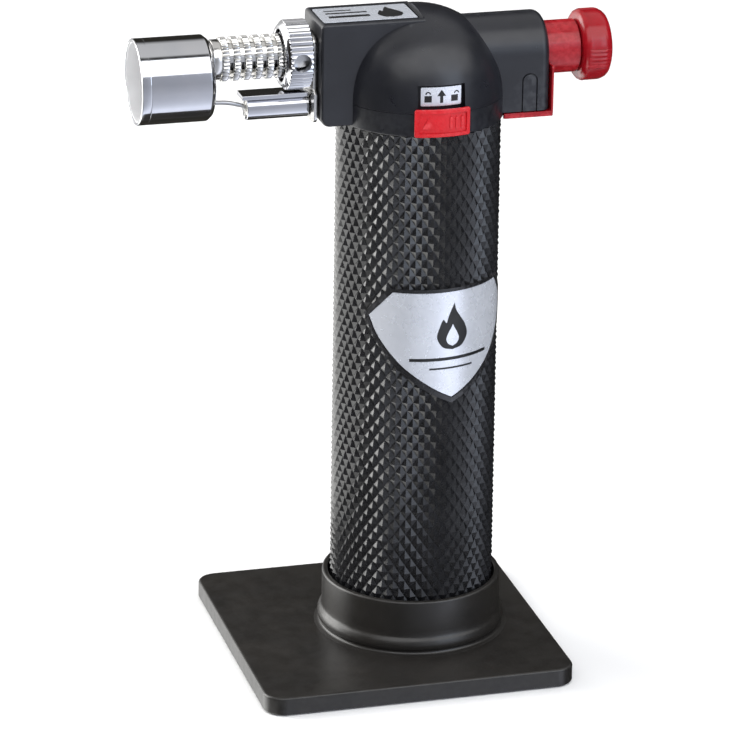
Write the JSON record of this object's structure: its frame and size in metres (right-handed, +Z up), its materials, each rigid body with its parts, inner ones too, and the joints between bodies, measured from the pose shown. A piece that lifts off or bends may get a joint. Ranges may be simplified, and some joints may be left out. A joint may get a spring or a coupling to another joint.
{
  "type": "butane torch",
  "caption": "Upright butane micro torch with knurled grip, chrome burner with air ring, red igniter button with flow knob, lock slide and a square stand it lifts out of",
  "frame": {"origin": "on the grip's axis, on the flat underside that the stand rests on", "axes": "+Z up along the grip; the burner points along -X, the igniter button along +X, and the lock slide faces -Y"},
  "size_m": [0.1041, 0.07, 0.147],
  "materials": {
    "stand_black": "satin moulded black",
    "grip_black": "glossy black moulding",
    "head_black": "satin black moulding",
    "inner_plastic": "plain dark moulding",
    "red_plastic": "deep red moulding",
    "slide_red": "bright red moulding",
    "chrome": "polished plating",
    "nickel": "bright nickel plating",
    "steel": "plain steel",
    "brass": "machined brass",
    "aluminium": "drawn and machined",
    "label_silver": "satin silver foil",
    "rubber": "matt black rubber",
    "ceramic": "white unglazed ceramic"
  },
  "bodies": {
    "stand": {"stand_base": "stand_black", "stand_pad": "rubber", "stand_weight": "steel"},
    "torch": {"grip_sleeve": "grip_black", "badge_plate": "label_silver", "sleeve_end_cap": "grip_black", "fuel_tank": "aluminium", "tank_bottom": "aluminium", "refill_valve": "brass", "refill_spring": "steel", "tank_neck": "aluminium", "neck_seal": "rubber", "valve_spring": "steel", "lever_pin": "steel", "gas_tube": "brass", "head_screw_1": "steel", "head_screw_2": "steel", "head_screw_3": "steel", "head_screw_4": "steel", "head_housing": "head_black", "rear_cover": "red_plastic", "top_label": "label_silver", "lock_label": "label_silver", "burner_bracket": "nickel", "burner_body": "steel", "gas_jet": "brass", "burner_nut": "brass", "burner_tube": "nickel", "mixer_tube": "steel", "flame_tube": "chrome", "flame_holder": "steel", "igniter_holder": "chrome", "ceramic_insulator": "ceramic", "electrode_wire": "steel", "ignition_lead": "rubber", "piezo_unit": "inner_plastic", "return_spring": "steel"},
    "plunger": {"igniter_plunger": "red_plastic"},
    "knob": {"flow_knob": "red_plastic", "flow_spindle": "brass"},
    "lever": {"valve_lever": "inner_plastic"},
    "valve": {"valve_stem": "brass"},
    "lock": {"lock_slide": "slide_red"},
    "air_collar": {"air_ring": "chrome"},
    "refill": {"refill_stem": "brass"}
  },
  "joints": [
    {"name": "torch_lift", "type": "slide", "parent": "stand", "child": "torch", "axis": [0, 0, 1], "range_m": [0, 0.02]},
    {"name": "button_press", "type": "slide", "parent": "torch", "child": "plunger", "axis": [-1, 0, 0], "range_m": [0, 0.004], "stiffness_N_per_m": 800, "springref_m": -0.004, "deforming": ["return_spring"]},
    {"name": "knob_turn", "type": "hinge", "parent": "plunger", "child": "knob", "pos_m": [0.0382, 0, 0.136], "axis": [1, 0, 0], "range_deg": [-135, 135]},
    {"name": "lever_rock", "type": "hinge", "parent": "torch", "child": "lever", "pos_m": [0.0025, 0, 0.1283], "axis": [0, 1, 0], "range_deg": [-28.5, 0]},
    {"name": "valve_push", "type": "slide", "parent": "torch", "child": "valve", "axis": [0, 0, -1], "range_m": [0, 0.0015], "deforming": ["valve_spring"]},
    {"name": "lock_travel", "type": "slide", "parent": "torch", "child": "lock", "axis": [0, 0, 1], "range_m": [0, 0.0044]},
    {"name": "air_ring_turn", "type": "hinge", "parent": "torch", "child": "air_collar", "pos_m": [-0.028, 0, 0.138], "axis": [1, 0, 0], "range_deg": [-60, 60]},
    {"name": "refill_push", "type": "slide", "parent": "torch", "child": "refill", "axis": [0, 0, 1], "range_m": [0, 0.0012], "stiffness_N_per_m": 300, "springref_m": -0.001, "deforming": ["refill_spring"]}
  ],
  "couplings": [
    {"joint": "lever_rock", "follows": "button_press", "rad_per_m": -122},
    {"joint": "valve_push", "follows": "button_press", "ratio": 0.35}
  ]
}
